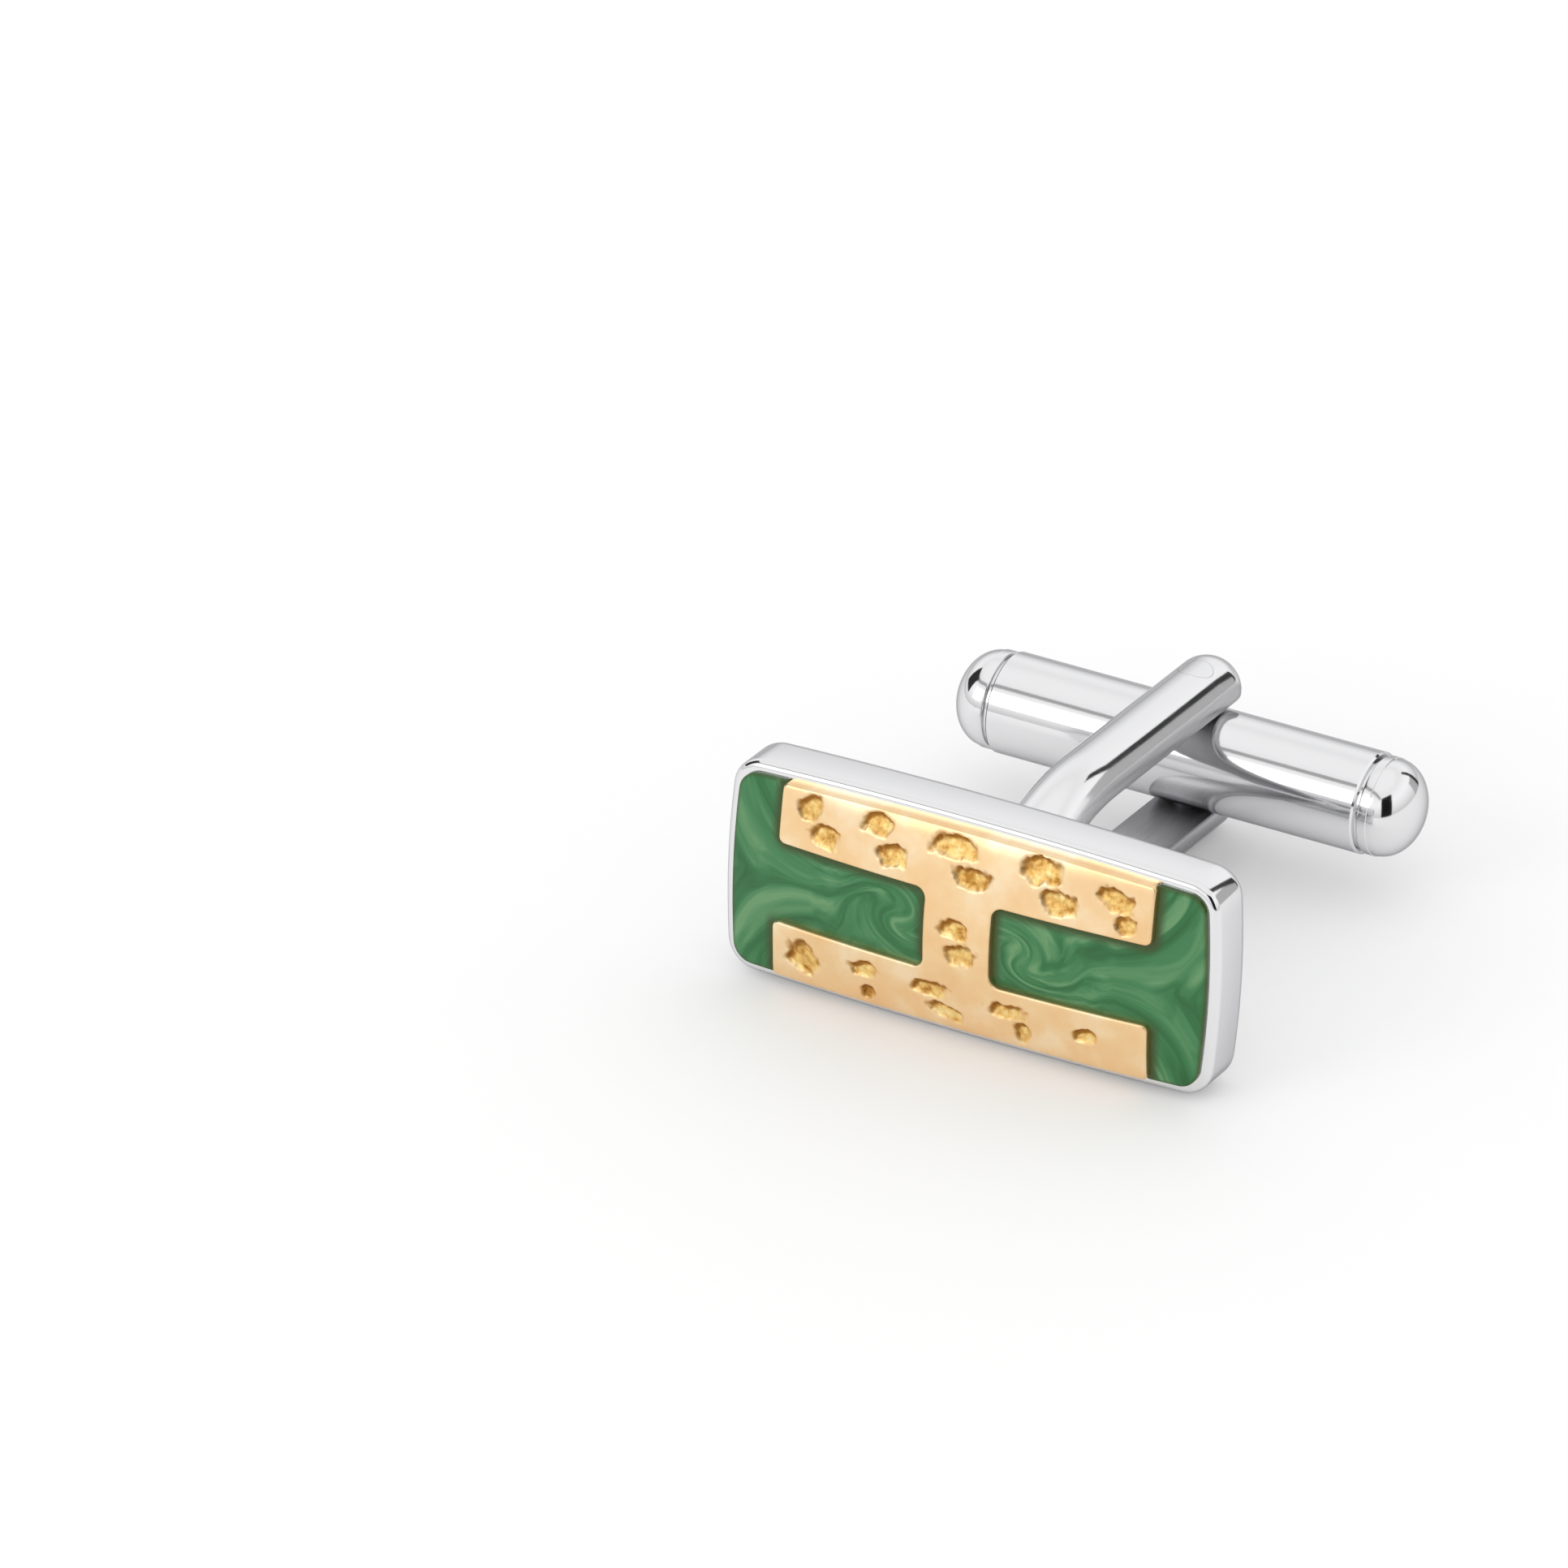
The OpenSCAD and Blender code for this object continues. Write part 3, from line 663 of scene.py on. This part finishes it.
for side, name, cad_node in ((1, "enamel_right_marbled", "enamel_right"),
                             (-1, "enamel_left_marbled", "enamel_left")):
    bm, (edge_value, along_value, across_value), _, floor_rim = cut_sheet(
        lambda x, z: max(from_enamel(x, z), -side * x),
        enamel_cell, enamel_edge_r, enamel_edge_steps, "edge", "along", "across")
    for v in bm.verts:
        v[edge_value] = painted_border_shade(v.co.x, v.co.z)
        v[along_value], v[across_value] = flow(v.co.x, v.co.z)
    raise_sheet(bm, enamel_level, enamel_sink, floor_rim)
    bmesh.ops.contextual_create(bm, geom=floor_rim)
    finish_piece(bm, name, "head", [cad_node], enamel, sharp=60)

# %% [markdown]
# The post is a wishbone: two half-round arms that leave one foot, bend apart and straddle
# the toggle. One half of an arm's section is drawn first, from the middle of its flat inside
# round a small fillet to its crown. Mirrored, it is the section to extrude along the arm and
# spin round the bend. Unmirrored, it is the profile to spin half a turn for the round end.
# The bend runs a few degrees past the pad's face, where a plane cuts it off, and towards the
# foot the arm grows wider, as a forged arm does.

# %% Half of an arm's section
fillet_r = 0.12
def half_section(bm, y):
    low = bm.verts.new((arm_w / 2 - fillet_r, y, arm_z))
    middle = bm.verts.new((0, y, arm_z))
    bm.edges.new((middle, low))
    swept = bmesh.ops.spin(bm, geom=[low], cent=(arm_w / 2 - fillet_r, y, arm_z + fillet_r),
                           axis=(0, -1, 0), angle=math.pi / 2, steps=4, use_merge=False)
    shoulder = bm.verts.new((arm_w / 2, y, arm_z + 2 * arm_mid))
    bm.edges.new((verts_of(swept["geom_last"])[0], shoulder))
    bmesh.ops.spin(bm, geom=[shoulder], cent=(0, y, arm_z + arm_mid), axis=(0, -1, 0),
                   angle=math.pi / 2 - math.asin(arm_mid / arm_r), steps=28, use_merge=False)
    return bm.verts[:] + bm.edges[:]

# %% One arm
runs, past_pad = (0.95, 1.4, 2.0, 2.0), math.radians(4)
widening, widens_from, widening_run = 0.2, 4.4, 3.6

def make_arm(upper):
    y_end = pivot_y + arm_end
    tip = bmesh.new()
    bmesh.ops.spin(tip, geom=half_section(tip, y_end), cent=(0, y_end, 0), axis=(0, 0, 1),
                   angle=math.pi, steps=32, use_merge=False)
    passing = bpy.data.meshes.new("passing")
    tip.to_mesh(passing)
    tip.free()
    bm = bmesh.new()
    half_section(bm, y_end)
    bmesh.ops.mirror(bm, geom=bm.verts[:] + bm.edges[:], axis="X", merge_dist=1e-4)
    ring = bm.edges[:]
    for run in (*runs, y_end - bend_y - sum(runs)):
        made = bmesh.ops.extrude_edge_only(bm, edges=ring)["geom"]
        ring = edges_of(made)
        bmesh.ops.translate(bm, verts=verts_of(made), vec=(0, -run, 0))
    bend_angle = math.asin((bend_y - pad_t) / bend_r) + past_pad
    bmesh.ops.spin(bm, geom=ring + verts_of(made), cent=(0, bend_y, arm_z - bend_r),
                   axis=(1, 0, 0), angle=bend_angle, steps=18, use_merge=False)
    bm.from_mesh(passing)
    bpy.data.meshes.remove(passing)
    bmesh.ops.remove_doubles(bm, verts=bm.verts, dist=1e-4)
    bmesh.ops.bisect_plane(bm, geom=bm.verts[:] + bm.edges[:] + bm.faces[:],
                           plane_co=(0, pad_t + 0.001, 0), plane_no=(0, 1, 0), clear_inner=True)
    bmesh.ops.contextual_create(bm, geom=[e for e in bm.edges if e.is_boundary])
    for v in bm.verts:
        v.co.x *= 1 + widening * max((widens_from - v.co.y) / widening_run, 0) ** 2
    if not upper:
        bmesh.ops.scale(bm, vec=(1, 1, -1), verts=bm.verts)
        bmesh.ops.reverse_faces(bm, faces=bm.faces)
    return bm

# %% [markdown]
# The foot is a short round boss that flares onto the pad. Its profile is spun round the
# post's axis. The pin's holes are cut a hair wider than the pin, so that its polished end
# shows as a fine ring in the arm, as on the real one. The "drawn" value is then set where the
# fork's surface faces sideways or inwards, and fades out near the foot.

# %% A turned solid
def turned(profile, centre, axis, steps=96):
    bm = bmesh.new()
    verts = [bm.verts.new(p) for p in profile]
    edges = [bm.edges.new(pair) for pair in zip(verts, verts[1:])]
    bmesh.ops.spin(bm, geom=verts + edges, cent=centre, axis=axis, angle=2 * math.pi,
                   steps=steps, use_merge=True)
    bmesh.ops.remove_doubles(bm, verts=bm.verts, dist=1e-5)
    bmesh.ops.holes_fill(bm, edges=[e for e in bm.edges if e.is_boundary], sides=0)
    bmesh.ops.recalc_face_normals(bm, faces=bm.faces)
    return bm

def drill(radius, top, steps):
    profile = [(0, -top), (radius, -top), (radius, top), (0, top)]
    return turned([(r, pivot_y, z) for r, z in profile], (0, pivot_y, 0), (0, 0, 1), steps)

# %% The post
past_surface = 0.5
hole_gap, pin_gap = 0.007, 0.003

foot_profile = [(0, pad_t, 0)]
for a in range(0, 91, 10):
    narrowing = (foot_d - foot_neck_d) / 2 * math.sin(math.radians(a))
    rise = foot_h * (1 - math.cos(math.radians(a)))
    foot_profile.append((foot_d / 2 - narrowing, pad_t + rise, 0))
foot_profile.append((0, pad_t + foot_h, 0))
foot = turned(foot_profile, (0, 0, 0), (0, 1, 0))
fork = combine(make_arm(True), [make_arm(False), foot], "UNION")
hole = drill(pin_d / 2 + hole_gap, arm_z + arm_t + past_surface, 64)
fork = combine(fork, [hole], "DIFFERENCE")
bmesh.ops.recalc_face_normals(fork, faces=fork.faces)
fork.normal_update()
drawn_layer = fork.verts.layers.float.new("drawn")
sideways, side_blend, inside_blend, foot_blend = 0.88, 0.05, 0.1, 0.5
for v in fork.verts:
    inside = -v.normal.z * math.copysign(1, v.co.z)
    flat = max((abs(v.normal.x) - sideways) / side_blend, inside / inside_blend)
    past_foot = (v.co.y - pad_t - foot_h) / foot_blend
    v[drawn_layer] = min(max(min(flat, past_foot), 0), 1)
finish_piece(fork, "post_fork_polished", "head", ["post_fork"], post_metal,
             sharp=38)

# %% [markdown]
# The pad is a turned disc that is soldered to the tray, with its outer edge rounded.

# %% The pad
pad_edge, pad_back_edge = 0.2, 0.03

pad_profile = [(0, 0, 0), (pad_d / 2 - pad_back_edge, 0, 0), (pad_d / 2, pad_back_edge, 0),
               (pad_d / 2, pad_t - pad_edge, 0)]
for a in range(15, 91, 15):
    pad_profile.append((pad_d / 2 - pad_edge * (1 - math.cos(math.radians(a))),
                        pad_t - pad_edge * (1 - math.sin(math.radians(a))), 0))
pad = turned(pad_profile + [(0, pad_t, 0)], (0, 0, 0), (0, 1, 0))
finish_piece(pad, "post_pad_polished", "head", ["post_pad"], white_metal)

# %% [markdown]
# The pivot pin is pressed through both arms and filed flush with their round outside. Its
# middle is squared for the springs. A disc is inset a few times, pushed up to the arm's
# round, and extruded down to the square. Its ends are polished, and the shank that shows
# between the toggle and the arms is dark.

# %% The pivot pin
rings, ring_w, into_cam = 4, 0.13, 0.05

pin = bmesh.new()
bmesh.ops.create_circle(pin, cap_ends=True, radius=pin_d / 2 - pin_gap, segments=64)
face = pin.faces[:]
for _ in range(rings):
    bmesh.ops.inset_region(pin, faces=face, thickness=ring_w, use_even_offset=True,
                           use_boundary=True)
for v in pin.verts:
    v.co.z = arm_z + arm_mid + math.sqrt(arm_r ** 2 - v.co.x ** 2)
rim = [e for e in pin.edges if e.is_boundary]
for v in verts_of(bmesh.ops.extrude_edge_only(pin, edges=rim)["geom"]):
    v.co.z = cam_l / 2 - into_cam
bmesh.ops.holes_fill(pin, edges=[e for e in pin.edges if e.is_boundary], sides=0)
bmesh.ops.mirror(pin, geom=pin.verts[:] + pin.edges[:] + pin.faces[:], axis="Z",
                 merge_dist=-1)
bmesh.ops.create_cube(pin, size=1, matrix=Matrix.Diagonal((cam_w, cam_w, cam_l, 1)))
bmesh.ops.translate(pin, verts=pin.verts, vec=(0, pivot_y, 0))
bmesh.ops.recalc_face_normals(pin, faces=pin.faces)
for f in pin.faces:
    is_end = abs(f.calc_center_median().z) > arm_z + arm_mid and abs(f.normal.z) > 0.3
    f.material_index = 0 if is_end else 1
pivot = finish_piece(pin, "pivot_pin_polished", "head", ["pivot_pin"], pin_metal)
# The shank's dark material is painted shade where it shows between the toggle and the arms.
pivot.data.materials.append(shank_painted_shade)

# %% [markdown]
# The toggle's barrel is drawn tube with a hole across it for the pin. The tube is its wall's
# profile spun once round the toggle's axis, with the sharp corners broken, and the hole is
# cut by a Boolean.

# %% The barrel
def toggle_point(x, r):
    return (x, pivot_y + r, 0)

half, broken = barrel_l / 2, 0.07
wall = [(-half, bore_r), (-half, toggle_r - broken), (-half + broken, toggle_r),
        (half - broken, toggle_r), (half, toggle_r - broken), (half, bore_r), (-half, bore_r)]
barrel = turned([toggle_point(x, r) for x, r in wall], (0, pivot_y, 0), (1, 0, 0), 128)
cross = drill(pin_d / 2 + pin_clearance, toggle_r + past_surface, 48)
barrel = combine(barrel, [cross], "DIFFERENCE")
finish_piece(barrel, "toggle_barrel_polished", "toggle", ["toggle_barrel"],
             white_metal)

# %% [markdown]
# Each end of the toggle is a bullet cap: a plug pressed into the tube, a narrow groove, a
# plain band, a small shoulder and a dome. One profile, spun once round, makes it all, and the
# other cap is the same profile the other way round.

# %% The caps
plug_edge, band_edge, shoulder_w, shoulder_h = 0.02, 0.08, 0.02, 0.035

def cap_profile(side):
    band_r, dome_from = toggle_r - band_step, groove_w + band_w
    points = [(-plug_l, 0), (-plug_l, bore_r - plug_edge), (-plug_l + plug_edge, bore_r),
              (0, bore_r), (0, toggle_r - groove_t), (groove_w, toggle_r - groove_t),
              (groove_w, band_r - band_edge)]
    for a in (30, 60, 90):
        points.append((groove_w + band_edge * (1 - math.cos(math.radians(a))),
                       band_r - band_edge * (1 - math.sin(math.radians(a)))))
    points.append((dome_from - shoulder_w, band_r))
    for a in range(0, 91, 5):
        points.append((dome_from + dome_h * math.sin(math.radians(a)),
                       (band_r - shoulder_h) * math.cos(math.radians(a))))
    return [toggle_point(side * (half + x), max(r, 0)) for x, r in points]

for side, name, cad_node in ((1, "toggle_cap_right_polished", "toggle_cap_right"),
                             (-1, "toggle_cap_left_polished", "toggle_cap_left")):
    cap = turned(cap_profile(side), (0, pivot_y, 0), (1, 0, 0), 128)
    finish_piece(cap, name, "toggle", [cad_node], white_metal)

# %% The springs keep their CAD solids
for cad_node in ("leaf_spring_front", "leaf_spring_rear"):
    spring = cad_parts[cad_node]
    spring.data.materials.clear()
    spring.data.materials.append(spring_steel)

# %% [markdown]
# The camera stands where the photograph was taken from: about 0.58 m away with a long lens.
# Its direction was found upright, by matching corners and outlines of the head, the arms and
# the toggle, so it is leaned onto the table with the same matrix as the pieces. Turning the
# camera by a fraction of a degree puts the cufflink at the photograph's place in the frame,
# which needs no lens shift.

# %% The camera
azimuth, elevation, roll = (math.radians(a) for a in (28.23, 26.41, 2.32))
distance, focal_px, photo_px = 577.5, 20000.0, 1932
face_middle, face_middle_px = Vector((0, -3.4, 0)), (1177.2, 1156.9)
sensor = 36

ahead = Vector((-math.sin(azimuth) * math.cos(elevation), math.cos(azimuth) * math.cos(elevation),
                -math.sin(elevation)))
right = Vector((math.cos(azimuth), math.sin(azimuth), 0))
up = right.cross(ahead)
right, up = (right * math.cos(roll) + up * math.sin(roll),
             up * math.cos(roll) - right * math.sin(roll))
off_right = (face_middle_px[0] - photo_px / 2) / focal_px
off_up = (photo_px / 2 - face_middle_px[1]) / focal_px
stand = face_middle - (ahead + right * off_right + up * off_up) * distance
camera_data = bpy.data.cameras.new("camera")
camera_data.sensor_width, camera_data.lens = sensor, focal_px / photo_px * sensor
camera_data.clip_start, camera_data.clip_end = 0.05, 10
camera = bpy.data.objects.new("camera", camera_data)
bpy.context.scene.collection.objects.link(camera)
turn = to_table.to_3x3().normalized()
axes = [(turn @ v).normalized() for v in (right, up, -ahead)]
camera.matrix_world = Matrix.Translation(to_table @ stand) @ Matrix(axes).transposed().to_4x4()
bpy.context.scene.camera = camera
print("camera stands at, m:", [round(c, 3) for c in camera.matrix_world.translation])

# %% [markdown]
# The studio is a pale floor under a white tent. Polished metal only looks like metal when it
# has something dark to show, so a few cards stand round the table, as on a real shoot. A dark
# upright strip behind on the right draws the crisp line along the arms, and the grey card
# beside it gives the arm's side its soft grey. A dark card on the left marks the toggle's left
# end, and a tall one beside the camera makes the dark patch on its right end. A narrow grey
# bar, high in front, draws the grey line along the barrel. They are hidden from the camera
# itself, so that they show in the metal only, and they aren't part of the cufflink.

# %% Floor and cards
def plain(name, colour, roughness=0.7):
    return start_material(name, Base_Color=(*colour, 1), Roughness=roughness,
                          Specular_IOR_Level=0.2)

def card(name, centre, width, height, facing, material):
    bm = bmesh.new()
    bmesh.ops.create_grid(bm, x_segments=1, y_segments=1, size=0.5,
                          matrix=Matrix.Diagonal((width, height, 1, 1)))
    spin_to = (Vector(facing) - Vector(centre)).to_track_quat("Z", "Y").to_matrix().to_4x4()
    bmesh.ops.transform(bm, matrix=Matrix.Translation(centre) @ spin_to, verts=bm.verts)
    mesh = bpy.data.meshes.new(name)
    bm.to_mesh(mesh)
    bm.free()
    mesh.materials.append(material)
    made = bpy.data.objects.new(name, mesh)
    bpy.context.scene.collection.objects.link(made)
    return made

floor_paper, tree, shader = plain("floor_paper", (0.84, 0.84, 0.84))
card("floor", (0, 0, 0), 2.4, 2.4, (0, 0, 1), floor_paper)

# %% [markdown]
# The floor has to look white without more light on the cufflink. So rays from the camera, and
# those that the metal and the coat send on, see a little glow added to the paper. The paper's
# own shading stays under it, which keeps the soft shadow.

# %% Lift the floor to white for what looks at it
path = node(tree, "ShaderNodeLightPath")
looked = node(tree, "ShaderNodeMath", operation="MAXIMUM")
looked_all = node(tree, "ShaderNodeMath", operation="MAXIMUM")
tree.links.new(path.outputs["Is Camera Ray"], looked.inputs[0])
tree.links.new(path.outputs["Is Glossy Ray"], looked.inputs[1])
tree.links.new(looked.outputs[0], looked_all.inputs[0])
tree.links.new(path.outputs["Is Transmission Ray"], looked_all.inputs[1])
floor_glow = 0.1
glow = node(tree, "ShaderNodeMath", operation="MULTIPLY")
glow.inputs[1].default_value = floor_glow
tree.links.new(looked_all.outputs[0], glow.inputs[0])
shader.inputs["Emission Color"].default_value = (1, 1, 1, 1)
tree.links.new(glow.outputs[0], shader.inputs["Emission Strength"])

# %% Cards for the metal: direction from the cufflink, distance, width, height and shade
def towards(azimuth, elevation, distance):
    a, e = math.radians(azimuth), math.radians(elevation)
    return Vector((math.sin(a) * math.cos(e), math.cos(a) * math.cos(e), math.sin(e))) * distance

def card_for_metal(name, azimuth, elevation, distance, width, height, shade):
    paper = plain(name + "_card", (shade, shade, shade), 0.9)[0]
    made = card(name, towards(azimuth, elevation, distance), width, height, (0, 0, 0), paper)
    made.visible_camera = False
    made.visible_diffuse = False

card_for_metal("strip_behind_right", 26.5, 20, 0.7, 0.09, 0.56, 0.03)
card_for_metal("grey_card_behind_right", 38.5, 11, 0.705, 0.2, 0.28, 0.55)
card_for_metal("strip_left", -98, 32, 0.7, 0.4, 0.5, 0.03)
card_for_metal("patch_by_camera", 129, 20, 0.75, 0.46, 0.68, 0.004)
card_for_metal("bar_in_front", -158, 53, 0.75, 1.0, 0.09, 0.48)

# %% [markdown]
# The tent is brightest a third of the way up and a little darker at the table and overhead,
# so round metal shows soft bands and not one flat white. Its mean strength is about 1, at
# which a colour renders about as it is written. One soft box in front on the left adds the
# small glints on the gold's upper edges and in the pits.

# %% The tent
world = bpy.data.worlds.new("white_tent")
bpy.context.scene.world = world
world.use_nodes = True
tree = world.node_tree
background = tree.nodes["Background"]
direction = node(tree, "ShaderNodeTexCoord")
split = node(tree, "ShaderNodeSeparateXYZ")
tree.links.new(direction.outputs["Generated"], split.inputs["Vector"])
tent_strength = 1.2
bands = [(0.0, 0.68), (0.1, 0.82), (0.22, 0.96), (0.45, 1.14), (0.62, 1.08), (0.78, 0.98),
         (0.9, 1.06)]
shade = ramp(tree, split.outputs["Z"],
             *[(height, (value / tent_strength,) * 3) for height, value in bands])
tree.links.new(shade, background.inputs["Color"])
background.inputs["Strength"].default_value = tent_strength
print("tent bands:", bands)

# %% The soft box
def soft_box(name, azimuth, elevation, distance, size, power):
    place = towards(azimuth, elevation, distance)
    data = bpy.data.lights.new(name, "AREA")
    data.shape, data.size, data.energy = "SQUARE", size, power
    made = bpy.data.objects.new(name, data)
    made.location = place
    made.rotation_mode = "QUATERNION"
    made.rotation_quaternion = place.to_track_quat("Z", "Y")
    bpy.context.scene.collection.objects.link(made)

soft_box("soft_box_front_left", -152, 28, 0.7, 0.3, 0.52)

# %% View transform
bpy.context.scene.view_settings.view_transform = "Standard"
